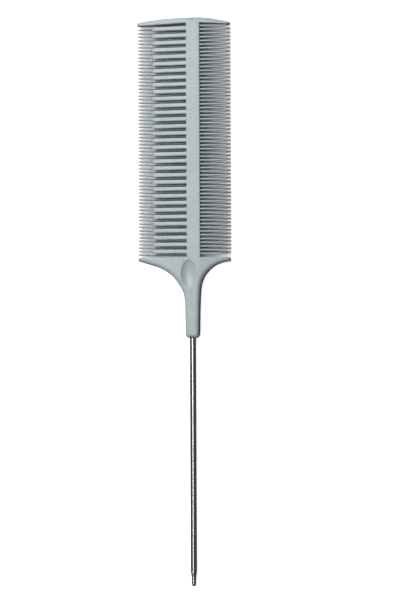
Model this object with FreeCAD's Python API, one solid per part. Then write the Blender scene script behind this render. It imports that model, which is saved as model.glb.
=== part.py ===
import FreeCAD, Part
import os

from FreeCAD import Vector

# Double-sided pin-tail comb, in millimetres.
# It lies on its flat back: +Z points out of the front face, +Y runs from the tail to the head,
# and +X is to the right when the front face is looked at with the head up.
# The shapes are drawn about the spine's centreline and moved sideways at the end, so that the
# origin is the middle of the overall box, on the underside.

# ---- driving dimensions: lengths along the comb ----
CROWN_HEIGHT = 2.25       # tip guard, measured at the spine
FIELD_LENGTH = 92.1       # toothed stretch of the spine
SHOULDER_LENGTH = 16.35   # from the last gap to the start of the neck
NECK_LENGTH = 16.0
TAIL_LENGTH = 98.3        # steel that shows beyond the neck
TAIL_POINT_LENGTH = 6.2   # tapered end of the steel
ANCHOR_LENGTH = 14.0      # steel that is moulded into the neck

# ---- driving dimensions: widths and thicknesses ----
BODY_THICKNESS = 6.0
SPINE_WIDTH = 5.5
LEFT_REACH = 22.7         # spine centreline to the tips of the rear left row
RIGHT_REACH = 14.5        # spine centreline to the tips of the rear right row
TAIL_OFFSET = -0.78       # tail centreline, sideways from the spine centreline
TAIL_RADIUS = 1.25
TAIL_TIP_RADIUS = 0.75
ANCHOR_RADIUS = 1.0       # the steel is a little slimmer inside the neck
ANCHOR_GROOVE_DEPTH = 0.25
NECK_TOP_WIDTH = 6.1
NECK_END_WIDTH = 5.65
NECK_THICKNESS = 5.6
NECK_EDGE_RADIUS = 1.4
NECK_END_RADIUS = 1.8

# ---- driving dimensions: end plates that close the rows ----
EDGE_TIP_Z = 0.7          # height of an end plate's back edge at its tips
LEFT_TIP_TOP_Z = 4.3
RIGHT_TIP_TOP_Z = 4.9
GUARD_LEFT_DROP = 1.65    # fall of the crown line from the spine to each tip
GUARD_RIGHT_DROP = 1.8
GUARD_EDGE_DRAFT = 0.6    # the same for the edge that faces the teeth
SHOULDER_EDGE_DRAFT = 0.6

# ---- driving dimensions: teeth ----
COARSE_COUNT = 33
COARSE_WIDTH = 1.6
COARSE_REACH = 16.5
FINE_COUNT = 62
FINE_WIDTH = 0.78
FINE_REACH = 13.5
REAR_LEFT_WIDTH = 0.92
REAR_LEFT_RISE = 0.2      # rear rows sit this much nearer the crown than the front ones
REAR_RIGHT_RISE = 0.65
POINT_WIDTH = 0.62        # right-hand teeth at their blunt points

# ---- driving dimensions: thumb recess ----
RECESS_WIDTH = 6.1
RECESS_LENGTH = 11.1
RECESS_DEPTH = 0.9
RECESS_SIDE = -2.1        # recess centre, sideways from the spine centreline
RECESS_BELOW_FIELD = 6.8  # recess centre, below the last gap

# ---- worked out from them ----
OVERALL_LENGTH = CROWN_HEIGHT + FIELD_LENGTH + SHOULDER_LENGTH + NECK_LENGTH + TAIL_LENGTH
CROWN_Y = OVERALL_LENGTH / 2
FIELD_TOP = CROWN_Y - CROWN_HEIGHT
FIELD_BOTTOM = FIELD_TOP - FIELD_LENGTH
NECK_TOP = FIELD_BOTTOM - SHOULDER_LENGTH
NECK_END = NECK_TOP - NECK_LENGTH
TAIL_TIP = NECK_END - TAIL_LENGTH
MID_Z = BODY_THICKNESS / 2
HALF_SPINE = SPINE_WIDTH / 2
CENTRE_SHIFT = (LEFT_REACH - RIGHT_REACH) / 2


def pitch_of(count, width):
    """Spacing of a row whose end gaps are as wide as the gaps between its teeth."""
    return (FIELD_LENGTH + width) / (count + 1)


def row_centres(count, width):
    """Heights of the tooth centres of a row that fills the field."""
    pitch = pitch_of(count, width)
    first = FIELD_TOP + width / 2 - pitch
    return [first - pitch * step for step in range(count)]


def face_of(points):
    """Flat face with the given corners."""
    return Part.Face(Part.makePolygon(points + points[:1]))


def tapered_bar(sections, centre_y):
    """Straight bar along X through upright rectangles given as (x, width, z_low, z_high)."""
    rings = []
    for x, width, z_low, z_high in sections:
        corners = ((-1, z_low), (1, z_low), (1, z_high), (-1, z_high))
        rings.append([Vector(x, centre_y + side * width / 2, z) for side, z in corners])
    faces = [face_of(rings[0]), face_of(rings[-1])]
    for near, far in zip(rings, rings[1:]):
        for a in range(4):
            b = (a + 1) % 4
            faces.append(face_of([near[a], near[b], far[b], far[a]]))
    solid = Part.Solid(Part.Shell(faces))
    if solid.Volume < 0:
        solid.reverse()
    return solid


def tooth_row(sections, centres):
    """Row of equal teeth, each a solid of its own."""
    return Part.makeCompound([tapered_bar(sections, y) for y in centres])


def coarse_teeth_front_left():
    """Wide flat bars of the front left row, with blunt bevelled ends."""
    sections = (
        (-HALF_SPINE, COARSE_WIDTH, 3.1, 5.7),
        (1.0 - COARSE_REACH, COARSE_WIDTH, 3.1, 4.35),
        (-COARSE_REACH, COARSE_WIDTH - 0.3, 3.2, 3.95),
    )
    return tooth_row(sections, row_centres(COARSE_COUNT, COARSE_WIDTH))


def fine_teeth_front_right():
    """Slim blunt-pointed teeth of the front right row."""
    sections = (
        (HALF_SPINE, FINE_WIDTH, 3.2, 5.6),
        (FINE_REACH - 3.0, FINE_WIDTH - 0.1, 3.5, 5.0),
        (FINE_REACH, POINT_WIDTH, 3.8, 4.6),
    )
    return tooth_row(sections, row_centres(FINE_COUNT, FINE_WIDTH))


def fine_teeth_rear_left():
    """Long slim teeth behind the coarse row, two for each coarse pitch."""
    sections = (
        (-HALF_SPINE, REAR_LEFT_WIDTH, 0.2, 2.8),
        (-COARSE_REACH, REAR_LEFT_WIDTH - 0.04, 0.5, 2.1),
        (-LEFT_REACH, REAR_LEFT_WIDTH - 0.14, 0.8, 1.8),
    )
    half_pitch = pitch_of(COARSE_COUNT, COARSE_WIDTH) / 2
    first = row_centres(COARSE_COUNT, COARSE_WIDTH)[0] + REAR_LEFT_RISE
    return tooth_row(sections, [first - half_pitch * step for step in range(2 * COARSE_COUNT)])


def fine_teeth_rear_right():
    """Slim teeth behind the front right row, stepped towards the crown to fill its gaps."""
    sections = (
        (HALF_SPINE, FINE_WIDTH, 0.2, 2.8),
        (RIGHT_REACH - 3.0, FINE_WIDTH - 0.1, 0.6, 2.1),
        (RIGHT_REACH, POINT_WIDTH, 0.8, 1.8),
    )
    centres = [y + REAR_RIGHT_RISE for y in row_centres(FINE_COUNT, FINE_WIDTH)[1:]]
    return tooth_row(sections, centres)


def spine():
    """Rectangular backbone that all four rows stand on."""
    corner = Vector(-HALF_SPINE, FIELD_BOTTOM, 0)
    return Part.makeBox(SPINE_WIDTH, FIELD_LENGTH, BODY_THICKNESS, corner)


def end_plate_section(y_low, y_high):
    """Prism along Y with the lens-like cross-section that the end plates are cut from."""
    outline = [
        Vector(-LEFT_REACH, y_low, EDGE_TIP_Z),
        Vector(-HALF_SPINE, y_low, 0),
        Vector(HALF_SPINE, y_low, 0),
        Vector(RIGHT_REACH, y_low, EDGE_TIP_Z),
        Vector(RIGHT_REACH, y_low, RIGHT_TIP_TOP_Z),
        Vector(HALF_SPINE, y_low, BODY_THICKNESS),
        Vector(-HALF_SPINE, y_low, BODY_THICKNESS),
        Vector(-LEFT_REACH, y_low, LEFT_TIP_TOP_Z),
    ]
    return face_of(outline).extrude(Vector(0, y_high - y_low, 0))


def plan_prism(edges):
    """Upright prism as thick as the body over a closed outline of edges."""
    face = Part.Face(Part.Wire(Part.__sortEdges__(edges)))
    return face.extrude(Vector(0, 0, BODY_THICKNESS))


def line(start, end):
    """Straight outline edge between two (x, y) points."""
    return Part.LineSegment(Vector(*start, 0), Vector(*end, 0)).toShape()


def arc(start, middle, end):
    """Round outline edge through three (x, y) points."""
    return Part.Arc(Vector(*start, 0), Vector(*middle, 0), Vector(*end, 0)).toShape()


def tip_guard():
    """End plate at the head: a flat crown that falls in gentle arcs to both tips."""
    crown_left = (-3.0, CROWN_Y)
    crown_right = (3.0, CROWN_Y)
    left_top = (-LEFT_REACH, CROWN_Y - GUARD_LEFT_DROP)
    right_top = (RIGHT_REACH, CROWN_Y - GUARD_RIGHT_DROP)
    left_edge = (-LEFT_REACH, FIELD_TOP - GUARD_EDGE_DRAFT)
    right_edge = (RIGHT_REACH, FIELD_TOP - GUARD_EDGE_DRAFT)
    edges = [
        line(crown_left, crown_right),
        arc(crown_right, (8.5, CROWN_Y - 0.62), right_top),
        line(right_top, right_edge),
        line(right_edge, (HALF_SPINE, FIELD_TOP)),
        line((HALF_SPINE, FIELD_TOP), (-HALF_SPINE, FIELD_TOP)),
        line((-HALF_SPINE, FIELD_TOP), left_edge),
        line(left_edge, left_top),
        arc(left_top, (-13.0, CROWN_Y - 0.42), crown_left),
    ]
    section = end_plate_section(FIELD_TOP - 1.0, CROWN_Y)
    return plan_prism(edges).common(section)


def thumb_recess():
    """Ellipsoid that scoops the thumb recess out of the front face."""
    half_height = 2.0
    rise = half_height - RECESS_DEPTH
    spread = (1 - (rise / half_height) ** 2) ** 0.5
    stretch = FreeCAD.Matrix()
    stretch.scale(RECESS_WIDTH / 2 / spread, RECESS_LENGTH / 2 / spread, half_height)
    scoop = Part.makeSphere(1.0).transformGeometry(stretch)
    scoop.translate(Vector(RECESS_SIDE, FIELD_BOTTOM - RECESS_BELOW_FIELD, BODY_THICKNESS + rise))
    return scoop


def shoulder():
    """End plate at the tail side, which sweeps in from both tips to the neck."""
    tip_y = FIELD_BOTTOM - SHOULDER_EDGE_DRAFT
    left_tip = (-LEFT_REACH, tip_y)
    right_tip = (RIGHT_REACH, tip_y)
    left_low = (-LEFT_REACH, tip_y - 1.4)
    right_low = (RIGHT_REACH, tip_y - 1.5)
    left_bend = (-14.5, FIELD_BOTTOM - 4.8)
    right_bend = (11.6, FIELD_BOTTOM - 2.75)
    left_neck = (TAIL_OFFSET - NECK_TOP_WIDTH / 2, NECK_TOP)
    right_neck = (TAIL_OFFSET + NECK_TOP_WIDTH / 2, NECK_TOP)
    edges = [
        line(left_tip, (-HALF_SPINE, FIELD_BOTTOM)),
        line((-HALF_SPINE, FIELD_BOTTOM), (HALF_SPINE, FIELD_BOTTOM)),
        line((HALF_SPINE, FIELD_BOTTOM), right_tip),
        line(right_tip, right_low),
        line(right_low, right_bend),
        arc(right_bend, (5.5, FIELD_BOTTOM - 6.5), right_neck),
        line(right_neck, left_neck),
        arc(left_neck, (-8.8, FIELD_BOTTOM - 8.3), left_bend),
        line(left_bend, left_low),
        line(left_low, left_tip),
    ]
    section = end_plate_section(NECK_TOP, FIELD_BOTTOM)
    return plan_prism(edges).common(section).cut(thumb_recess())


def neck():
    """Grip between the shoulder and the tail, rounded all along and moulded round the anchor."""
    low_z = MID_Z - NECK_THICKNESS / 2
    half_top = NECK_TOP_WIDTH / 2
    half_end = NECK_END_WIDTH / 2
    corners = [
        Vector(TAIL_OFFSET - half_top, NECK_TOP, low_z),
        Vector(TAIL_OFFSET + half_top, NECK_TOP, low_z),
        Vector(TAIL_OFFSET + half_end, NECK_END, low_z),
        Vector(TAIL_OFFSET - half_end, NECK_END, low_z),
    ]
    block = face_of(corners).extrude(Vector(0, 0, NECK_THICKNESS))
    end_corners = []
    for edge in block.Edges:
        low, high = edge.BoundBox.ZMin, edge.BoundBox.ZMax
        if high - low > 1.0 and edge.BoundBox.YMax < NECK_END + 1.0:
            end_corners.append(edge)
    block = block.makeFillet(NECK_END_RADIUS, end_corners)
    rims = []
    for edge in block.Edges:
        box = edge.BoundBox
        flat = box.ZMax - box.ZMin < 0.01
        if flat and box.YMin < NECK_TOP - 1.0:
            rims.append(edge)
    block = block.makeFillet(NECK_EDGE_RADIUS, rims)
    return block.cut(tail_pin())


def tail_pin():
    """Steel pin on its axis: tapered point, straight stem, and a grooved end in the neck."""
    groove_radius = ANCHOR_RADIUS - ANCHOR_GROOVE_DEPTH
    straight_end = TAIL_TIP + TAIL_POINT_LENGTH
    anchor_end = NECK_END + ANCHOR_LENGTH
    profile = [
        Part.Arc(
            Vector(0, TAIL_TIP, 0),
            Vector(TAIL_TIP_RADIUS * 0.7071, TAIL_TIP + TAIL_TIP_RADIUS * 0.2929, 0),
            Vector(TAIL_TIP_RADIUS, TAIL_TIP + TAIL_TIP_RADIUS, 0),
        ).toShape(),
    ]
    stations = [
        (TAIL_TIP_RADIUS, TAIL_TIP + TAIL_TIP_RADIUS),
        (TAIL_RADIUS, straight_end),
        (TAIL_RADIUS, NECK_END),
        (ANCHOR_RADIUS, NECK_END),
        (ANCHOR_RADIUS, NECK_END + 5.0),
        (groove_radius, NECK_END + 5.5),
        (groove_radius, NECK_END + 8.5),
        (ANCHOR_RADIUS, NECK_END + 9.0),
        (ANCHOR_RADIUS, anchor_end - 0.3),
        (ANCHOR_RADIUS - 0.3, anchor_end),
        (0, anchor_end),
        (0, TAIL_TIP),
    ]
    for start, end in zip(stations, stations[1:]):
        profile.append(line(start, end))
    face = Part.Face(Part.Wire(Part.__sortEdges__(profile)))
    pin = face.revolve(Vector(0, 0, 0), Vector(0, 1, 0), 360)
    pin.translate(Vector(TAIL_OFFSET, 0, MID_Z))
    return pin


NODES = {
    "spine": spine,
    "coarse_teeth_front_left": coarse_teeth_front_left,
    "fine_teeth_front_right": fine_teeth_front_right,
    "fine_teeth_rear_left": fine_teeth_rear_left,
    "fine_teeth_rear_right": fine_teeth_rear_right,
    "tip_guard": tip_guard,
    "shoulder": shoulder,
    "neck": neck,
    "tail_pin": tail_pin,
}


def main():
    """Build every node, centre it on the frame and write its STEP file."""
    os.makedirs("parts", exist_ok=True)
    for name, build in NODES.items():
        shape = build()
        shape.translate(Vector(CENTRE_SHIFT, 0, 0))
        shape.exportStep(os.path.join("parts", name + ".step"))
        box = shape.BoundBox
        print(
            f"{name}: {len(shape.Solids)} solids, valid {shape.isValid()}, {shape.Volume:.1f} mm3, "
            f"x {box.XMin:.2f}..{box.XMax:.2f}, y {box.YMin:.2f}..{box.YMax:.2f}, "
            f"z {box.ZMin:.2f}..{box.ZMax:.2f}"
        )


main()
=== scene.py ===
"""Looks of a double-sided pin-tail comb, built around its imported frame.

The comb lies on its flat back on a pale lit table. Its body is one smooth moulding of pale
blue-grey resin with four rows of teeth, and its tail is a polished steel pin.
"""

from __future__ import annotations

import logging
import math
from dataclasses import dataclass
from enum import Enum

import bpy
import numpy as np
from mathutils import Matrix, Vector
from mathutils.geometry import delaunay_2d_cdt


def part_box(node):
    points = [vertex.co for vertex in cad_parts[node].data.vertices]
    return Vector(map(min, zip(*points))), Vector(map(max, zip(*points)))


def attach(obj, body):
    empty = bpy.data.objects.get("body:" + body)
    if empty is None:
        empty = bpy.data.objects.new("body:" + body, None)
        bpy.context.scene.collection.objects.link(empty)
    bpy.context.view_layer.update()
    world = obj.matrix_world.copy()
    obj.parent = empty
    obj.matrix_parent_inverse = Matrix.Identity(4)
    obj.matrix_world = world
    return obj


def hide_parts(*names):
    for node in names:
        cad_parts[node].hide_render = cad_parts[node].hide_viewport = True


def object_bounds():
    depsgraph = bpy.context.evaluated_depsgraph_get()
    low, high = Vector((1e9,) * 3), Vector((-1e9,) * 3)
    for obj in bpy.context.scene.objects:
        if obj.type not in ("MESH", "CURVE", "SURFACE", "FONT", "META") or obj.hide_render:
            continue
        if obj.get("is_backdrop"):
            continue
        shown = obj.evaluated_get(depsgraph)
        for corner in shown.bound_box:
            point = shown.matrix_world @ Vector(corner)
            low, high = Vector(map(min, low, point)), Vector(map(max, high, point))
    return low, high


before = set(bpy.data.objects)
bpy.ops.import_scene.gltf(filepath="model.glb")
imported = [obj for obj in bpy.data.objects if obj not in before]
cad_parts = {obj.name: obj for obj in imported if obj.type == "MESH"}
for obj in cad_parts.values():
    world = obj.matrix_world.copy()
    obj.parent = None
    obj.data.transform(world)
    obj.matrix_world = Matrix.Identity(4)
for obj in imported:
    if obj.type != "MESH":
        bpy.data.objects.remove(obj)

MM = 0.001
SPAN_POINTS = 24  # points on each span of a flowing line
BLOCK = 2000  # points whose distances are worked out at once
LOG = logging.getLogger("comb")


class Side(Enum):
    """Side of the spine that a row of teeth stands on."""

    LEFT = -1
    RIGHT = 1


class Edge(Enum):
    """Kind of edge of the moulding: the ones that face the teeth are crisper."""

    OUTER = "outer"
    TEETH = "teeth"


# ---------------------------------------------------------------- helpers


def smooth_step(value: np.ndarray, low: float, high: float) -> np.ndarray:
    """Ease from 0 at low to 1 at high.

    Args:
        value: Positions to ease.
        low: Position where the result leaves 0.
        high: Position where the result reaches 1.

    Returns:
        An array of factors from 0 to 1.
    """
    t = np.clip((value - low) / (high - low), 0.0, 1.0)
    return t * t * (3.0 - 2.0 * t)


def resample(points: np.ndarray, step: float) -> np.ndarray:
    """Space points evenly along a polyline.

    Args:
        points: Corners of the polyline, one per row.
        step: Wanted spacing.

    Returns:
        Evenly spaced points from the first corner to the last.
    """
    runs = np.linalg.norm(np.diff(points, axis=0), axis=1)
    reach = np.concatenate([[0.0], np.cumsum(runs)])
    count = max(2, int(round(reach[-1] / step)) + 1)
    wanted = np.linspace(0.0, reach[-1], count)
    return np.stack([np.interp(wanted, reach, points[:, k]) for k in range(2)], axis=1)


def flowing_line(points: list[tuple[float, float]], step: float) -> np.ndarray:
    """Draw a smooth line through a few points, with centripetal Catmull-Rom spans.

    Args:
        points: Points that the line passes through.
        step: Wanted spacing of the result.

    Returns:
        Evenly spaced points along the line.
    """
    knots = np.array(points, dtype=float)
    padded = np.vstack([2 * knots[0] - knots[1], knots, 2 * knots[-1] - knots[-2]])
    drawn = []
    for a, b, c, d in zip(padded, padded[1:], padded[2:], padded[3:]):
        gaps = [math.sqrt(np.linalg.norm(q - p)) for p, q in ((a, b), (b, c), (c, d))]
        t0, t1 = 0.0, gaps[0]
        t2, t3 = t1 + gaps[1], t1 + gaps[1] + gaps[2]
        for t in np.linspace(t1, t2, SPAN_POINTS, endpoint=False):
            ab = (t1 - t) / (t1 - t0) * a + (t - t0) / (t1 - t0) * b
            bc = (t2 - t) / (t2 - t1) * b + (t - t1) / (t2 - t1) * c
            cd = (t3 - t) / (t3 - t2) * c + (t - t2) / (t3 - t2) * d
            abc = (t2 - t) / (t2 - t0) * ab + (t - t0) / (t2 - t0) * bc
            bcd = (t3 - t) / (t3 - t1) * bc + (t - t1) / (t3 - t1) * cd
            drawn.append((t2 - t) / (t2 - t1) * abc + (t - t1) / (t2 - t1) * bcd)
    drawn.append(knots[-1])
    return resample(np.array(drawn), step)


def round_turn(
    centre: tuple[float, float], radii: tuple[float, float], start: float, end: float, count: int
) -> np.ndarray:
    """Draw part of an ellipse.

    Args:
        centre: Centre of the ellipse.
        radii: Half-widths along X and Y.
        start: First angle in degrees, from +X towards +Y.
        end: Last angle in degrees.
        count: Number of points.

    Returns:
        Points along the turn.
    """
    angles = np.radians(np.linspace(start, end, count))
    return np.stack(
        [centre[0] + radii[0] * np.cos(angles), centre[1] + radii[1] * np.sin(angles)], axis=1
    )


def distance_to(points: np.ndarray, starts: np.ndarray, ends: np.ndarray) -> np.ndarray:
    """Measure how far points are from the nearest of some straight runs.

    Args:
        points: Points in plan, one per row.
        starts: First ends of the runs.
        ends: Second ends of the runs.

    Returns:
        One distance per point.
    """
    along = ends - starts
    length2 = np.maximum((along**2).sum(axis=1), 1e-12)
    nearest = np.empty(len(points))
    for low in range(0, len(points), BLOCK):
        block = points[low : low + BLOCK, None, :] - starts[None, :, :]
        t = np.clip((block * along[None]).sum(axis=2) / length2[None], 0.0, 1.0)
        gap = block - t[:, :, None] * along[None]
        nearest[low : low + BLOCK] = np.sqrt((gap**2).sum(axis=2).min(axis=1))
    return nearest


def make_object(name: str, vertices: np.ndarray, faces: list[tuple[int, ...]]) -> bpy.types.Object:
    """Make a smooth-shaded mesh object and add it to the scene.

    Args:
        name: Name of the object and of its mesh.
        vertices: Vertex positions in metres, one per row.
        faces: Corner numbers of each face.

    Returns:
        The new object.
    """
    mesh = bpy.data.meshes.new(name)
    mesh.from_pydata([tuple(map(float, v)) for v in vertices], [], faces)
    mesh.validate()
    mesh.update()
    mesh.shade_smooth()
    made = bpy.data.objects.new(name, mesh)
    bpy.context.scene.collection.objects.link(made)
    return made


def place(piece: bpy.types.Object, nodes: tuple[str, ...]) -> None:
    """Tie a finished piece to the frame.

    Args:
        piece: Object that is in place.
        nodes: CAD nodes that it stands for.
    """
    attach(piece, "root")
    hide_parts(*nodes)
    LOG.info("%s: %d faces, for %s", piece.name, len(piece.data.polygons), ", ".join(nodes))


# ---------------------------------------------------------------- finishes


class Graph:
    """Small writer for the nodes of one material."""

    def __init__(self, name: str) -> None:
        """Start an empty material with its output and its surface shader.

        Args:
            name: Name of the material.
        """
        self.material = bpy.data.materials.new(name)
        self.material.use_nodes = True
        self.tree = self.material.node_tree
        self.surface = self.tree.nodes["Principled BSDF"]

    def add(self, kind: str, settings: dict | None = None, **inputs: object) -> bpy.types.Node:
        """Add a node.

        Args:
            kind: Blender's name of the node type.
            settings: Properties to set on the node.
            inputs: Values or output sockets for its inputs, with _ for a space in a name.

        Returns:
            The new node.
        """
        node = self.tree.nodes.new(kind)
        for key, value in (settings or {}).items():
            setattr(node, key, value)
        for key, value in inputs.items():
            self.feed(node.inputs[key.replace("_", " ")], value)
        return node

    def feed(self, socket: bpy.types.NodeSocket, value: object) -> None:
        """Set a socket, or link it if the value is another node's output.

        Args:
            socket: Input to set.
            value: Plain value or output socket.
        """
        if isinstance(value, bpy.types.NodeSocket):
            self.tree.links.new(value, socket)
        else:
            socket.default_value = value

    def noise(
        self, where: bpy.types.NodeSocket, scale: float, detail: float
    ) -> bpy.types.NodeSocket:
        """Add a noise pattern.

        Args:
            where: Coordinates that it is drawn in, in metres.
            scale: Features per metre.
            detail: Number of finer layers.

        Returns:
            Output socket with values from 0 to 1.
        """
        node = self.add("ShaderNodeTexNoise", Vector=where, Scale=scale, Detail=detail)
        return node.outputs["Fac"]

    def spread(
        self, value: bpy.types.NodeSocket, source: tuple[float, float], target: tuple[float, float]
    ) -> bpy.types.NodeSocket:
        """Map a range of values onto another.

        Args:
            value: Values to map.
            source: Low and high end of the range that goes in.
            target: Low and high end of the range that comes out.

        Returns:
            Output socket with the mapped values.
        """
        node = self.add("ShaderNodeMapRange", Value=value)
        for key, number in zip(("From Min", "From Max", "To Min", "To Max"), source + target):
            node.inputs[key].default_value = number
        return node.outputs["Result"]

    def blend(
        self, factor: bpy.types.NodeSocket, first: tuple | bpy.types.NodeSocket, second: tuple
    ) -> bpy.types.NodeSocket:
        """Mix two colours.

        Args:
            factor: Share of the second colour.
            first: Colour at 0.
            second: Colour at 1.

        Returns:
            Output socket with the mixed colour.
        """
        node = self.add("ShaderNodeMix", {"data_type": "RGBA"})
        self.feed(node.inputs["Factor"], factor)
        self.feed(node.inputs[6], first)
        self.feed(node.inputs[7], second)
        return node.outputs[2]

    def combine(
        self, operation: str, first: bpy.types.NodeSocket, second: bpy.types.NodeSocket
    ) -> bpy.types.NodeSocket:
        """Join two values by one step of arithmetic.

        Args:
            operation: Blender's name of the step.
            first: First value.
            second: Second value.

        Returns:
            Output socket with the result.
        """
        node = self.add("ShaderNodeMath", {"operation": operation})
        self.feed(node.inputs[0], first)
        self.feed(node.inputs[1], second)
        return node.outputs[0]

    def bumped(
        self, height: bpy.types.NodeSocket, strength: float, depth: float
    ) -> bpy.types.Node:
        """Add a bump.

        Args:
            height: Pattern of the relief.
            strength: Share of the relief that shows.
            depth: Height of the relief in metres.

        Returns:
            The bump node, whose output is the bumped normal.
        """
        return self.add("ShaderNodeBump", Height=height, Strength=strength, Distance=depth)


@dataclass(frozen=True)
class ResinFinish:
    """Satin moulded resin: fine spark-eroded grain, faint flow marks and paler rubbed edges.

    Patterns are in features per metre, and depths in metres. Each range is the part of a pattern
    that is spread over an amount, a roughness or, for the clouds, a whole blend.
    """

    name: str = "pale_resin"
    colour: tuple[float, float, float, float] = (0.383, 0.435, 0.446, 1.0)
    cloudy: tuple[float, float, float, float] = (0.350, 0.400, 0.412, 1.0)
    rubbed: tuple[float, float, float, float] = (0.440, 0.490, 0.500, 1.0)
    speckled: tuple[float, float, float, float] = (0.300, 0.348, 0.360, 1.0)
    roughness: tuple[float, float] = (0.34, 0.44)
    cloud_per_metre: float = 90.0
    cloud_range: tuple[float, float] = (0.35, 0.65)
    speckle_per_metre: float = 950.0
    speckle_range: tuple[float, float] = (0.36, 0.64)
    speckle_amount: tuple[float, float] = (0.0, 0.6)
    edge_range: tuple[float, float] = (0.53, 0.62)
    edge_amount: tuple[float, float] = (0.0, 0.55)
    patch_per_metre: float = 450.0
    patch_range: tuple[float, float] = (0.42, 0.60)
    patch_amount: tuple[float, float] = (0.2, 1.0)
    flow_per_metre: float = 900.0
    flow_stretch: tuple[float, float, float] = (1.0, 0.12, 1.0)
    flow_range: tuple[float, float] = (0.3, 0.7)
    grain_per_metre: float = 5200.0
    grain_strength: float = 0.35
    grain_depth: float = 0.000012
    wave_per_metre: float = 260.0
    wave_strength: float = 0.25
    wave_depth: float = 0.00004
    refraction: float = 1.48
    specular: float = 0.42

    def material(self) -> bpy.types.Material:
        """Write the material.

        Returns:
            The finished material.
        """
        graph = Graph(self.name)
        where = graph.add("ShaderNodeTexCoord").outputs["Object"]
        noise = graph.noise(where, self.cloud_per_metre, 3.0)
        clouds = graph.spread(noise, self.cloud_range, (0.0, 1.0))
        cloudy = graph.blend(clouds, self.colour, self.cloudy)
        noise = graph.noise(where, self.speckle_per_metre, 3.0)
        speckle = graph.spread(noise, self.speckle_range, self.speckle_amount)
        body = graph.blend(speckle, cloudy, self.speckled)
        edges = graph.add("ShaderNodeNewGeometry").outputs["Pointiness"]
        worn = graph.spread(edges, self.edge_range, self.edge_amount)
        noise = graph.noise(where, self.patch_per_metre, 4.0)
        patchy = graph.spread(noise, self.patch_range, self.patch_amount)
        wear = graph.combine("MULTIPLY", worn, patchy)
        colour = graph.blend(wear, body, self.rubbed)
        graph.feed(graph.surface.inputs["Base Color"], colour)

        stretched = graph.add("ShaderNodeMapping", Vector=where, Scale=self.flow_stretch)
        flow = graph.noise(stretched.outputs["Vector"], self.flow_per_metre, 3.0)
        rough = graph.spread(flow, self.flow_range, self.roughness)
        graph.feed(graph.surface.inputs["Roughness"], rough)
        grain = graph.noise(where, self.grain_per_metre, 2.0)
        fine = graph.bumped(grain, self.grain_strength, self.grain_depth)
        waves = graph.noise(where, self.wave_per_metre, 2.0)
        broad = graph.bumped(waves, self.wave_strength, self.wave_depth)
        graph.feed(broad.inputs["Normal"], fine.outputs["Normal"])
        graph.feed(graph.surface.inputs["Normal"], broad.outputs["Normal"])
        graph.surface.inputs["IOR"].default_value = self.refraction
        graph.surface.inputs["Specular IOR Level"].default_value = self.specular
        return graph.material


@dataclass(frozen=True)
class SteelFinish:
    """Polished drawn steel: fine marks along the pin and faint duller smears."""

    name: str = "polished_steel"
    colour: tuple[float, float, float, float] = (0.68, 0.68, 0.66, 1.0)
    dull: tuple[float, float, float, float] = (0.60, 0.60, 0.585, 1.0)
    roughness: tuple[float, float] = (0.15, 0.20)
    mark_per_metre: float = 9000.0
    mark_stretch: tuple[float, float, float] = (1.0, 0.02, 1.0)
    mark_range: tuple[float, float] = (0.3, 0.7)
    mark_strength: float = 0.05
    mark_depth: float = 0.000004
    smear_per_metre: float = 300.0
    smear_range: tuple[float, float] = (0.4, 0.62)

    def material(self) -> bpy.types.Material:
        """Write the material.

        Returns:
            The finished material.
        """
        graph = Graph(self.name)
        where = graph.add("ShaderNodeTexCoord").outputs["Object"]
        drawn = graph.add("ShaderNodeMapping", Vector=where, Scale=self.mark_stretch)
        marks = graph.noise(drawn.outputs["Vector"], self.mark_per_metre, 4.0)
        noise = graph.noise(where, self.smear_per_metre, 3.0)
        smears = graph.spread(noise, self.smear_range, (0.0, 1.0))
        colour = graph.blend(smears, self.colour, self.dull)
        graph.feed(graph.surface.inputs["Base Color"], colour)
        graph.surface.inputs["Metallic"].default_value = 1.0
        rough = graph.spread(marks, self.mark_range, self.roughness)
        graph.feed(graph.surface.inputs["Roughness"], rough)
        bump = graph.bumped(marks, self.mark_strength, self.mark_depth)
        graph.feed(graph.surface.inputs["Normal"], bump.outputs["Normal"])
        return graph.material


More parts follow.
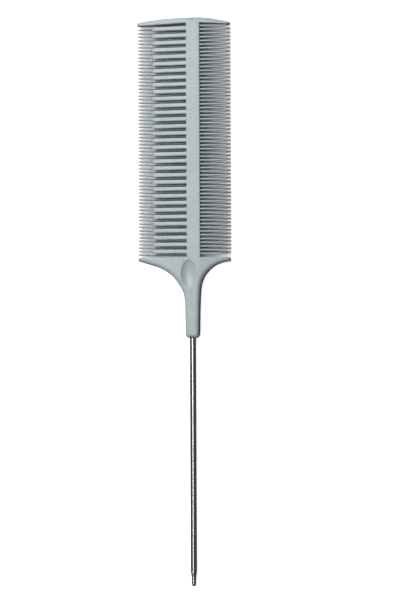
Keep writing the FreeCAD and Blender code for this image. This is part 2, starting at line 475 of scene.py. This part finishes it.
@dataclass(frozen=True)
class TableFinish:
    """Pale table top with a painted glow, an emission that washes out the comb's cast shadows.

    The painted glow is left off over a plain patch under the head, so that real shade shows there
    between the teeth. Over the patch's edge it rises from nothing to a lower level, which sets the
    painted brightness seen between the rear teeth's tips, and past it, up to the rim, to its full
    level. The rim is a multiple of the edge's width.
    """

    name: str = "painted_glow_table"
    colour: tuple[float, float, float, float] = (0.92, 0.92, 0.92, 1.0)
    specular: float = 0.1
    haze_per_metre: float = 6.0
    haze_range: tuple[float, float] = (0.3, 0.7)
    roughness: tuple[float, float] = (0.7, 0.8)
    # Painted glow levels: at the patch's edge, which lightens the floor between the rear teeth's
    # tips, and away from the comb
    painted_edge_glow: float = 0.45
    glow: float = 0.9
    patch_centre: tuple[float, float, float] = (-0.0005, 0.0645, 0.0)
    patch_half: tuple[float, float, float] = (0.0095, 0.0455, 1.0)
    patch_edge: tuple[float, float, float] = (0.0090, 0.0030, 1.0)
    patch_rim: float = 1.12

    def material(self) -> bpy.types.Material:
        """Write the material.

        Returns:
            The finished material.
        """
        graph = Graph(self.name)
        where = graph.add("ShaderNodeTexCoord").outputs["Object"]
        noise = graph.noise(where, self.haze_per_metre, 2.0)
        haze = graph.spread(noise, self.haze_range, self.roughness)
        graph.surface.inputs["Base Color"].default_value = self.colour
        graph.feed(graph.surface.inputs["Roughness"], haze)
        graph.surface.inputs["Specular IOR Level"].default_value = self.specular
        # Painted glow: emission strength rises with distance outside the patch, so the comb's cast
        # shadows on the table are washed out and only the patch keeps its shade
        steps = (("SUBTRACT", self.patch_centre), ("ABSOLUTE", None),
                 ("SUBTRACT", self.patch_half), ("DIVIDE", self.patch_edge))
        offset = where
        for operation, amount in steps:
            node = graph.add("ShaderNodeVectorMath", {"operation": operation})
            graph.feed(node.inputs[0], offset)
            if amount is not None:
                graph.feed(node.inputs[1], amount)
            offset = node.outputs["Vector"]
        parts = graph.add("ShaderNodeSeparateXYZ", Vector=offset)
        outside = graph.combine("MAXIMUM", parts.outputs["X"], parts.outputs["Y"])
        edge = graph.spread(outside, (0.0, 1.0), (0.0, self.painted_edge_glow))
        rim = graph.spread(outside, (1.0, self.patch_rim), (0.0, self.glow - self.painted_edge_glow))
        graph.surface.inputs["Emission Color"].default_value = self.colour
        graph.feed(graph.surface.inputs["Emission Strength"], graph.combine("ADD", edge, rim))
        return graph.material


# ---------------------------------------------------------------- the moulding


@dataclass
class CombBody:
    """Spine, tip guard, shoulder and neck as one seamless moulding.

    Plan sizes are in millimetres from the spine's centreline, and heights above the back. The
    field is the toothed stretch of the spine, and recess_centre is measured from its lower end.
    The guard's drops are for its left and right tip, below the crown or the field's top. The
    shoulder's are for the upper and lower end of both tips, below the field.
    """

    spine_x: float
    half_spine: float
    thickness: float
    crown: float
    field_top: float
    field_bottom: float
    left_reach: float
    right_reach: float
    neck_x: float
    neck_end: float
    neck_half_width: float
    neck_low: float
    neck_high: float
    nodes: tuple[str, ...] = ("spine", "tip_guard", "shoulder", "neck")
    step: float = 0.5
    teeth_radius: float = 0.35
    guard_radius: float = 0.7
    shoulder_radius: float = 1.65
    neck_radius: float = 1.45
    parting_rise: float = 0.025
    left_tip_drop: float = 1.75
    right_tip_drop: float = 1.15
    tip_back_rise: float = 0.7
    recess_centre: tuple[float, float] = (-2.1, -6.8)
    recess_half: tuple[float, float] = (3.1, 5.6)
    recess_depth: float = 1.15
    recess_rim_angle: float = 34.0
    tip_depth: float = 0.5
    guard_drops: tuple[float, float] = (1.5, 1.85)
    guard_edge_drops: tuple[float, float] = (0.65, 0.6)
    shoulder_tip_drops: tuple[float, float] = (0.4, 1.9)
    shoulder_root_drop: float = 0.25
    neck_corner: float = 1.8
    neck_taper: float = 0.22
    neck_blend: tuple[float, float] = (10.0, 4.0)
    sweep_blend: tuple[float, float] = (18.0, 8.0)
    field_blend: float = 20.0
    lean_start: float = 0.6
    rounding_limit: float = 0.46
    sink_x: float = -0.5
    sink_width: float = 0.55
    sink_depth: float = 0.035
    grid_step: float = 0.7
    cell: float = 0.11
    closest: float = 0.02
    clearance: float = 0.03
    ring_shares: tuple[float, ...] = (0.04, 0.14, 0.30, 0.52, 0.78, 1.02)
    ring_depths: tuple[float, ...] = (0.06, 0.16, 0.36)

    @classmethod
    def from_frame(cls) -> CombBody:
        """Read the main sizes from the frame's boxes.

        Returns:
            A body that fills the same boxes as the CAD nodes it stands for.
        """
        spine_low, spine_high = (np.array(c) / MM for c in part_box("spine"))
        guard_high = np.array(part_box("tip_guard")[1]) / MM
        plate_low, plate_high = (np.array(c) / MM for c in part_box("shoulder"))
        neck_low, neck_high = (np.array(c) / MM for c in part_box("neck"))
        middle = (spine_low[0] + spine_high[0]) / 2
        return cls(
            spine_x=middle,
            half_spine=(spine_high[0] - spine_low[0]) / 2,
            thickness=spine_high[2],
            crown=guard_high[1],
            field_top=spine_high[1],
            field_bottom=spine_low[1],
            left_reach=middle - plate_low[0],
            right_reach=plate_high[0] - middle,
            neck_x=(neck_low[0] + neck_high[0]) / 2 - middle,
            neck_end=neck_low[1],
            neck_half_width=(neck_high[0] - neck_low[0]) / 2,
            neck_low=neck_low[2],
            neck_high=neck_high[2],
        )

    def tip(self, side: Side, low: float, high: float, upward: bool) -> np.ndarray:
        """Round off the tip of an end plate in plan.

        Args:
            side: Side of the spine.
            low: Lower end of the tip along Y.
            high: Upper end of the tip along Y.
            upward: Whether the turn runs from low to high.

        Returns:
            Points round the tip.
        """
        reach = self.left_reach if side is Side.LEFT else self.right_reach
        half = (high - low) / 2
        start, end = (-90.0, 90.0) if side is Side.RIGHT else (270.0, 90.0)
        if not upward:
            start, end = end, start
        depth = min(self.tip_depth, half)
        return round_turn((side.value * (reach - depth), low + half), (depth, half), start, end, 9)

    def straight(self, *corners: tuple[float, float]) -> np.ndarray:
        """Space points along straight runs.

        Args:
            corners: Ends of the runs, in order.

        Returns:
            Points along the runs.
        """
        return np.vstack([resample(np.array(p), self.step) for p in zip(corners, corners[1:])])

    def outline(self) -> list[tuple[Edge, np.ndarray]]:
        """Draw the silhouette anticlockwise from the left end of the crown.

        Returns:
            Stretches of the silhouette with their kinds of edge.
        """
        top, bottom, half = self.field_top, self.field_bottom, self.half_spine
        left, right, crown = self.left_reach, self.right_reach, self.crown
        tip_left, tip_right = self.tip_depth - left, right - self.tip_depth
        guard_low_left, guard_low_right = (crown - drop for drop in self.guard_drops)
        guard_edge_left, guard_edge_right = (top - drop for drop in self.guard_edge_drops)
        shoulder_high, shoulder_low = (bottom - drop for drop in self.shoulder_tip_drops)
        root = bottom - self.shoulder_root_drop
        end_half = self.neck_half_width - self.neck_taper
        end_left, end_right = self.neck_x - end_half, self.neck_x + end_half
        corner = self.neck_corner
        end_high = self.neck_end + corner
        guard_left = flowing_line(
            [(-3.2, crown), (-8.0, crown - 0.08), (-13.0, crown - 0.36), (-18.0, crown - 0.86),
             (tip_left, guard_low_left)], self.step)
        guard_right = flowing_line(
            [(tip_right, guard_low_right), (11.0, crown - 1.22), (8.0, crown - 0.66),
             (5.5, crown - 0.22), (3.2, crown)], self.step)
        sweep_left = flowing_line(
            [(tip_left, shoulder_low), (-17.5, bottom - 3.3), (-13.5, bottom - 4.7),
             (-9.4, bottom - 7.25), (-6.25, bottom - 11.0), (-4.5, bottom - 14.3),
             (-3.86, bottom - 17.6), (-3.7, bottom - 21.0), (end_left, end_high)], self.step)
        sweep_right = flowing_line(
            [(end_right, end_high), (2.22, bottom - 21.0), (2.34, bottom - 17.6),
             (2.5, bottom - 14.4), (2.98, bottom - 11.0), (4.25, bottom - 7.8),
             (6.15, bottom - 5.5), (8.4, bottom - 3.75), (11.3, bottom - 2.55),
             (tip_right, shoulder_low)], self.step)

        return [
            (Edge.OUTER, guard_left),
            (Edge.OUTER, self.tip(Side.LEFT, guard_edge_left, guard_low_left, upward=False)),
            (Edge.TEETH, self.straight((tip_left, guard_edge_left), (-half, top), (-half, root),
                                       (tip_left, shoulder_high))),
            (Edge.OUTER, self.tip(Side.LEFT, shoulder_low, shoulder_high, upward=False)),
            (Edge.OUTER, sweep_left),
            (Edge.OUTER, round_turn((end_left + corner, end_high), (corner, corner),
                                    180.0, 270.0, 9)),
            (Edge.OUTER, round_turn((end_right - corner, end_high), (corner, corner),
                                    270.0, 360.0, 9)),
            (Edge.OUTER, sweep_right),
            (Edge.OUTER, self.tip(Side.RIGHT, shoulder_low, shoulder_high, upward=True)),
            (Edge.TEETH, self.straight((tip_right, shoulder_high), (half, root), (half, top),
                                       (tip_right, guard_edge_right))),
            (Edge.OUTER, self.tip(Side.RIGHT, guard_edge_right, guard_low_right, upward=True)),
            (Edge.OUTER, guard_right),
        ]

    def edge_radius(self, y: np.ndarray) -> np.ndarray:
        """Give the rounding of the outer edges along the comb.

        Args:
            y: Positions along the comb.

        Returns:
            One radius per position.
        """
        start, end = (self.field_bottom - drop for drop in self.sweep_blend)
        low = smooth_step(y, start, end)
        plate = self.neck_radius + (self.shoulder_radius - self.neck_radius) * low
        start, end = self.field_bottom + self.field_blend, self.field_top - self.field_blend
        high = smooth_step(y, start, end)
        return plate + (self.guard_radius - plate) * high

    def recess(self, x: np.ndarray, y: np.ndarray) -> np.ndarray:
        """Give how deep the thumb recess is under each point.

        Args:
            x: Positions across, from the spine's centreline.
            y: Positions along the comb.

        Returns:
            Depths below the front face.
        """
        along = (y - self.field_bottom - self.recess_centre[1]) / self.recess_half[1]
        across = (x - self.recess_centre[0]) / self.recess_half[0]
        ratio = np.minimum(np.sqrt(along**2 + across**2), 1.0)
        rim = math.radians(self.recess_rim_angle)
        bowl = (np.sqrt(1.0 - (ratio * math.sin(rim)) ** 2) - math.cos(rim)) / (1.0 - math.cos(rim))
        return self.recess_depth * bowl * smooth_step(1.0 - ratio, -0.02, 0.10)

    def heights(
        self, plan: np.ndarray, gaps: dict[Edge, np.ndarray]
    ) -> tuple[np.ndarray, np.ndarray]:
        """Give the back and front surface over points of the plan.

        Args:
            plan: Points in plan.
            gaps: Distance of each point from each kind of edge.

        Returns:
            Heights of the back and of the front, one of each per point.
        """
        x, y = plan[:, 0], plan[:, 1]
        reach = np.where(x < 0.0, self.left_reach, self.right_reach)
        tip_drop = np.where(x < 0.0, self.left_tip_drop, self.right_tip_drop)
        level = self.half_spine * self.lean_start
        out = np.clip((np.abs(x) - level) / (reach - level), 0.0, 1.0)
        lean = out * smooth_step(out, -0.25, 0.30)
        above_end, below_field = self.neck_blend
        to_neck = 1.0 - smooth_step(y, self.neck_end + above_end, self.field_bottom - below_field)
        front = self.thickness - (self.thickness - self.neck_high) * to_neck - tip_drop * lean
        back = self.neck_low * to_neck + self.tip_back_rise * lean
        on_spine = smooth_step(self.half_spine - np.abs(x), 0.0, 0.8)
        sink = self.sink_depth * np.exp(-(((x - self.sink_x) / self.sink_width) ** 2))
        front = front - sink * on_spine * (1.0 - to_neck)
        fall = np.zeros(len(plan))
        for kind, radius in (
            (Edge.OUTER, self.edge_radius(y)),
            (Edge.TEETH, np.full(len(plan), self.teeth_radius)),
        ):
            depth = np.clip(radius - gaps[kind], 0.0, radius)
            fall += radius - np.sqrt(np.maximum(radius**2 - depth**2, 0.0))
        fall = np.minimum(fall, (front - back) * self.rounding_limit)
        return back + fall, front - fall - self.recess(x, y)

    def inner_points(self, rim: np.ndarray, inward: np.ndarray) -> np.ndarray:
        """Choose the points inside the silhouette: rings along the rounded edges, then a grid.

        Args:
            rim: Points of the silhouette.
            inward: Unit normals that point into the plan.

        Returns:
            Candidate points, which may lie too close to the silhouette.
        """
        sets = []
        radius = np.maximum(self.edge_radius(rim[:, 1]), self.teeth_radius)
        for share in self.ring_shares:
            sets.append(rim + inward * (radius * share)[:, None])
        for depth in self.ring_depths:
            sets.append(rim + inward * depth)
        grid_x = np.arange(-self.left_reach, self.right_reach, self.grid_step)
        grid_y = np.arange(self.neck_end, self.crown, self.grid_step)
        sets.append(np.stack(np.meshgrid(grid_x, grid_y), axis=-1).reshape(-1, 2))
        centre = np.array(self.recess_centre) + (0.0, self.field_bottom)
        for ratio in np.linspace(0.05, 1.12, 24):
            count = max(6, int(96 * ratio))
            turn = round_turn((0.0, 0.0), self.recess_half, 0.0, 360.0 * (1 - 1 / count), count)
            sets.append(centre + turn * ratio)
        return np.vstack(sets)

    def build(self) -> bpy.types.Object:
        """Build the moulding: a front, a back and a wall with a faint parting line.

        Returns:
            The mesh object, in the row frame.
        """
        stretches = self.outline()
        rim = np.vstack([points for _, points in stretches])
        kinds = [kind for kind, points in stretches for _ in points]
        keep = np.linalg.norm(rim - np.roll(rim, 1, axis=0), axis=1) > self.closest
        rim = rim[keep]
        kinds = [kind for kind, kept in zip(kinds, keep) if kept]
        tangent = np.roll(rim, -1, axis=0) - np.roll(rim, 1, axis=0)
        tangent /= np.linalg.norm(tangent, axis=1)[:, None]
        inward = np.stack([-tangent[:, 1], tangent[:, 0]], axis=1)
        rim = rim + inward * self.parting_rise

        ends = np.roll(rim, -1, axis=0)
        runs = {k: np.array([a is k for a in kinds]) for k in Edge}
        inside = self.inner_points(rim, inward)
        clear = distance_to(inside, rim, ends) > self.clearance
        inside = self.thinned(inside[clear])
        points = [Vector(p) for p in np.vstack([rim, inside])]
        loop = [list(range(len(rim)))]
        plan, _, faces, _, _, _ = delaunay_2d_cdt(points, [], loop, 1, 1e-6)
        plan = np.array([tuple(p) for p in plan])
        gaps = {k: distance_to(plan, rim[runs[k]], ends[runs[k]]) for k in Edge}
        back, front = self.heights(plan, gaps)
        return self.close("comb_body", plan, faces, back, front, len(rim), inward)

    def thinned(self, points: np.ndarray) -> np.ndarray:
        """Drop points that crowd an earlier one.

        Args:
            points: Points in order of importance.

        Returns:
            The points that are left, one to a cell.
        """
        cells = np.round(points / self.cell).astype(int)
        _, first = np.unique(cells, axis=0, return_index=True)
        return points[np.sort(first)]

    def close(
        self,
        name: str,
        plan: np.ndarray,
        faces: list[list[int]],
        back: np.ndarray,
        front: np.ndarray,
        rim_count: int,
        inward: np.ndarray,
    ) -> bpy.types.Object:
        """Join front and back with the wall and make the object.

        Args:
            name: Name of the object.
            plan: Points in plan, the silhouette first.
            faces: Triangles over the plan.
            back: Height of the back at each point.
            front: Height of the front at each point.
            rim_count: Number of points on the silhouette.
            inward: Normals of the silhouette that point inwards.

        Returns:
            The mesh object.
        """
        total = len(plan)
        rows = [np.column_stack([plan, front]), np.column_stack([plan, back])]
        wall = []
        parting = (0.5, self.parting_rise)
        for share, rise in ((0.25, 0.0), (0.44, 0.0), parting, (0.56, 0.0), (0.75, 0.0)):
            flat = plan[:rim_count] - inward * rise
            height = front[:rim_count] * (1.0 - share) + back[:rim_count] * share
            wall.append(np.column_stack([flat, height]))
        vertices = np.vstack(rows + wall)
        made = [tuple(f) for f in faces]
        made += [tuple(total + i for i in reversed(f)) for f in faces]
        rings = [0] + [2 * total + k * rim_count for k in range(len(wall))] + [total]
        for upper, lower in zip(rings, rings[1:]):
            for i in range(rim_count):
                j = (i + 1) % rim_count
                made.append((upper + i, lower + i, lower + j, upper + j))
        vertices[:, 0] += self.spine_x
        piece = make_object(name, vertices * MM, made)
        weighted = piece.modifiers.new("even_normals", "WEIGHTED_NORMAL")
        weighted.weight = 60
        return piece

    def dress(self, piece: bpy.types.Object, finish: bpy.types.Material) -> None:
        """Give the moulding its finish and tie it to the frame.

        Args:
            piece: The moulding.
            finish: Material of the resin.
        """
        piece.data.materials.append(finish)
        place(piece, self.nodes)


@dataclass
class ToothRow:
    """One row of moulded teeth: rounded bars that flare at the root and narrow to the tip.

    Each station is (share of the reach, width, lowest, highest), and sizes are in millimetres.
    Squareness is the power of the bar's section: 2 is an oval, and more is nearer a rectangle.
    """

    node: str
    side: Side
    stations: tuple[tuple[float, float, float, float], ...]
    squareness: float
    root_flare: float
    count: int
    tip_round: float = 0.35
    inset: float = 0.45
    ring_count: int = 22
    corner_count: int = 20

    def profile(self, share: np.ndarray) -> tuple[np.ndarray, np.ndarray, np.ndarray]:
        """Interpolate the stations.

        Args:
            share: Positions from the root, 0, to the tip, 1.

        Returns:
            Width, lowest and highest point at each position.
        """
        table = np.array(self.stations)
        return tuple(np.interp(share, table[:, 0], table[:, k]) for k in (1, 2, 3))

    def tooth(self, length: float) -> tuple[np.ndarray, list[tuple[int, ...]]]:
        """Build one tooth along X from its root at 0.

        Args:
            length: Distance from the root to the tip.

        Returns:
            Vertices and faces of the tooth.
        """
        body = np.linspace(0.0, 1.0, self.ring_count) ** 1.15 * (length - self.tip_round)
        root = np.array([0.04, 0.10, 0.18, 0.28]) * self.root_flare / 0.28
        turn = np.radians(np.linspace(12.0, 86.0, 6))
        ends = length - self.tip_round * (1.0 - np.sin(turn))
        along = np.unique(np.concatenate([[-self.inset], root, body, ends]))
        width, low, high = self.profile(np.clip(along / length, 0.0, 1.0))
        flare = np.clip(1.0 - along / self.root_flare, 0.0, 1.0)
        width = width + 2.0 * self.root_flare * (1.0 - np.sqrt(1.0 - flare**2)) * (along >= 0.0)
        width[0] = width[1]
        past = np.clip((along - length + self.tip_round) / self.tip_round, 0.0, 0.995)
        closing = np.sqrt(1.0 - past**2)
        angles = np.linspace(0.0, 2.0 * math.pi, self.corner_count, endpoint=False)
        angles = angles + math.pi / self.corner_count
        power = 2.0 / self.squareness
        across = np.sign(np.cos(angles)) * np.abs(np.cos(angles)) ** power
        upward = np.sign(np.sin(angles)) * np.abs(np.sin(angles)) ** power
        rings = []
        for x, w, a, b, c in zip(along, width, low, high, closing):
            ring = np.empty((self.corner_count, 3))
            ring[:, 0] = self.side.value * x
            ring[:, 1] = across * w / 2 * c
            ring[:, 2] = (a + b) / 2 + upward * (b - a) / 2 * c
            rings.append(ring)
        faces = []
        n = self.corner_count
        for k in range(len(rings) - 1):
            for i in range(n):
                j = (i + 1) % n
                quad = (k * n + i, (k + 1) * n + i, (k + 1) * n + j, k * n + j)
                faces.append(quad if self.side is Side.LEFT else quad[::-1])
        first, last = tuple(range(n)), tuple(range((len(rings) - 1) * n, len(rings) * n))
        faces += [first, last[::-1]] if self.side is Side.LEFT else [first[::-1], last]
        return np.vstack(rings), faces

    def build(self) -> bpy.types.Object:
        """Build the whole row between the ends of its CAD node.

        Returns:
            The mesh object, in the row frame.
        """
        low, high = (np.array(c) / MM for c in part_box(self.node))
        root = high[0] if self.side is Side.LEFT else low[0]
        vertices, faces = self.tooth(high[0] - low[0])
        half = self.stations[0][1] / 2
        centres = np.linspace(high[1] - half, low[1] + half, self.count)
        sets, made = [], []
        for k, y in enumerate(centres):
            sets.append(vertices + (root, y, 0.0))
            made += [tuple(k * len(vertices) + i for i in f) for f in faces]
        return make_object(self.node + "_moulded", np.vstack(sets) * MM, made)

    def dress(self, piece: bpy.types.Object, finish: bpy.types.Material) -> None:
        """Give the row its finish and tie it to the frame.

        Args:
            piece: The row.
            finish: Material of the resin.
        """
        piece.data.materials.append(finish)
        place(piece, (self.node,))


@dataclass
class TailPin:
    """Polished steel pin: a straight stem with a tapered, rounded point, in millimetres.

    The taper is how far the point has widened, from 0 to 1, at even steps along it.
    """

    node: str = "tail_pin"
    point_length: float = 6.0
    tip_radius: float = 0.9
    taper: tuple[float, ...] = (0.0, 0.02, 0.05, 0.10, 0.18, 0.32, 0.55, 0.82, 1.0)
    stem_rings: int = 40
    segments: int = 64

    def build(self) -> bpy.types.Object:
        """Turn the pin on its axis.

        Returns:
            The mesh object, in the row frame.
        """
        low, high = (np.array(c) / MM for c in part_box(self.node))
        radius = (high[0] - low[0]) / 2
        centre_x, centre_z = (low[0] + high[0]) / 2, (low[2] + high[2]) / 2
        turn = np.radians(np.linspace(4.0, 86.0, 8))
        stations = []
        for angle in turn:
            y = low[1] + self.tip_radius * (1.0 - math.cos(angle))
            stations.append((y, self.tip_radius * math.sin(angle)))
        for share, ease in zip(np.linspace(0.0, 1.0, len(self.taper)), self.taper):
            y = low[1] + self.tip_radius + share * (self.point_length - self.tip_radius)
            stations.append((y, self.tip_radius + ease * (radius - self.tip_radius)))
        start = stations[-1][0]
        stations += [(y, radius) for y in np.linspace(start + 1.0, high[1], self.stem_rings)]
        angles = np.linspace(0.0, 2.0 * math.pi, self.segments, endpoint=False)
        rings = []
        for y, r in stations:
            across = centre_x + r * np.cos(angles)
            upward = centre_z + r * np.sin(angles)
            rings.append(np.column_stack([across, np.full(self.segments, y), upward]))
        faces = []
        n = self.segments
        for k in range(len(rings) - 1):
            for i in range(n):
                j = (i + 1) % n
                faces.append((k * n + i, (k + 1) * n + i, (k + 1) * n + j, k * n + j))
        faces += [tuple(range(n)), tuple(reversed(range((len(rings) - 1) * n, len(rings) * n)))]
        return make_object("steel_tail", np.vstack(rings) * MM, faces)

    def dress(self, piece: bpy.types.Object, finish: bpy.types.Material) -> None:
        """Give the pin its finish and tie it to the frame.

        Args:
            piece: The pin.
            finish: Material of the steel.
        """
        piece.data.materials.append(finish)
        place(piece, (self.node,))


# ---------------------------------------------------------------- the studio


@dataclass
class Softbox:
    """Rectangular diffused lamp that faces the origin, in metres and watts."""

    name: str
    direction: tuple[float, float, float]
    distance: float
    size: tuple[float, float]
    power: float

    def build(self) -> None:
        """Hang the lamp and turn it towards the middle of the comb."""
        data = bpy.data.lights.new(self.name, "AREA")
        data.shape = "RECTANGLE"
        data.size, data.size_y = self.size
        data.energy = self.power
        lamp = bpy.data.objects.new(self.name, data)
        away = Vector(self.direction).normalized()
        lamp.location = away * self.distance
        lamp.rotation_euler = away.to_track_quat("Z", "Y").to_euler()
        bpy.context.scene.collection.objects.link(lamp)


@dataclass
class Studio:
    """Pale table, soft light and the camera, in metres and degrees, with a sensor in millimetres."""

    table_size: float = 6.0
    table_gap: float = 0.0002
    side_angle: float = 7.5
    distance: float = 0.68
    aim: tuple[float, float, float] = (0.0068, 0.0007, 0.006)
    roll: float = -0.25
    picture_height: float = 0.2368
    sensor: float = 36.0
    ambient: tuple[float, float, float, float] = (0.070, 0.073, 0.076, 1.0)
    clip: tuple[float, float] = (0.05, 20.0)

    def build(self, finish: bpy.types.Material) -> None:
        """Set up the table, the light and the camera.

        Args:
            finish: Material of the table.
        """
        self.table(finish)
        for lamp in softboxes():
            lamp.build()
        self.world()
        self.camera()

    def table(self, finish: bpy.types.Material) -> None:
        """Lay the table top just under the comb.

        Args:
            finish: Material of the table.
        """
        half, low = self.table_size / 2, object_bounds()[0][2] - self.table_gap
        sides = ((-half, -half), (half, -half), (half, half), (-half, half))
        top = make_object("table_top", np.array([(x, y, low) for x, y in sides]), [(0, 1, 2, 3)])
        top.data.materials.append(finish)
        top.visible_diffuse = False
        top.visible_glossy = False
        top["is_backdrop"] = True

    def world(self) -> None:
        """Fill the room with a faint even light."""
        world = bpy.data.worlds.new("studio_room")
        world.use_nodes = True
        world.node_tree.nodes["Background"].inputs["Color"].default_value = self.ambient
        bpy.context.scene.world = world

    def camera(self) -> None:
        """Stand the camera over the comb, a little to the right, and aim it at the middle."""
        data = bpy.data.cameras.new("studio_camera")
        data.sensor_width = self.sensor
        data.lens = self.sensor * self.distance / self.picture_height
        data.clip_start, data.clip_end = self.clip
        camera = bpy.data.objects.new("studio_camera", data)
        turn = Matrix.Rotation(math.radians(self.side_angle), 4, "Y")
        lean = Matrix.Rotation(math.radians(self.roll), 4, "Z")
        back = Matrix.Translation((0.0, 0.0, self.distance))
        camera.matrix_world = Matrix.Translation(self.aim) @ turn @ lean @ back
        bpy.context.scene.collection.objects.link(camera)
        bpy.context.scene.camera = camera


def softboxes() -> list[Softbox]:
    """List the lamps.

    Returns:
        The lamps, the main one first.
    """
    return [
        Softbox("key_softbox", direction=(-0.34, 0.39, 0.86),
                distance=0.80, size=(0.46, 0.84), power=7.0),
        Softbox("side_softbox", direction=(-0.50, 0.60, 0.62),
                distance=0.85, size=(0.22, 0.22), power=1.3),
        Softbox("tail_strip", direction=(-0.225, -0.24, 0.93),
                distance=0.95, size=(0.13, 0.70), power=1.15),
    ]


def tooth_rows() -> list[ToothRow]:
    """List the four rows of teeth.

    Returns:
        The rows, front ones first.
    """
    return [
        ToothRow("coarse_teeth_front_left", Side.LEFT,
                 ((0.0, 1.6, 3.1, 5.7), (0.93, 1.58, 3.1, 4.35), (1.0, 1.45, 3.2, 4.0)),
                 squareness=6.0, root_flare=0.3, count=33),
        ToothRow("fine_teeth_front_right", Side.RIGHT,
                 ((0.0, 0.78, 3.2, 5.6), (0.7, 0.70, 3.5, 5.0), (1.0, 0.50, 3.8, 4.6)),
                 squareness=3.2, root_flare=0.22, count=62),
        ToothRow("fine_teeth_rear_left", Side.LEFT,
                 ((0.0, 0.92, 0.2, 2.8), (0.69, 0.82, 0.5, 2.1), (1.0, 0.72, 0.8, 1.8)),
                 squareness=2.1, root_flare=0.18, count=66),
        ToothRow("fine_teeth_rear_right", Side.RIGHT,
                 ((0.0, 0.78, 0.2, 2.8), (0.74, 0.72, 0.6, 2.1), (1.0, 0.62, 0.8, 1.8)),
                 squareness=2.6, root_flare=0.22, count=61),
    ]


def main() -> None:
    """Build the comb and the studio."""
    logging.basicConfig(level=logging.INFO, format="%(message)s")
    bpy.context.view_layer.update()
    scene = bpy.context.scene
    scene.view_settings.view_transform = "Standard"
    Studio().build(TableFinish().material())
    resin = ResinFinish().material()
    body = CombBody.from_frame()
    body.dress(body.build(), resin)
    for row in tooth_rows():
        row.dress(row.build(), resin)
    pin = TailPin()
    pin.dress(pin.build(), SteelFinish().material())


if __name__ == "__main__":
    main()
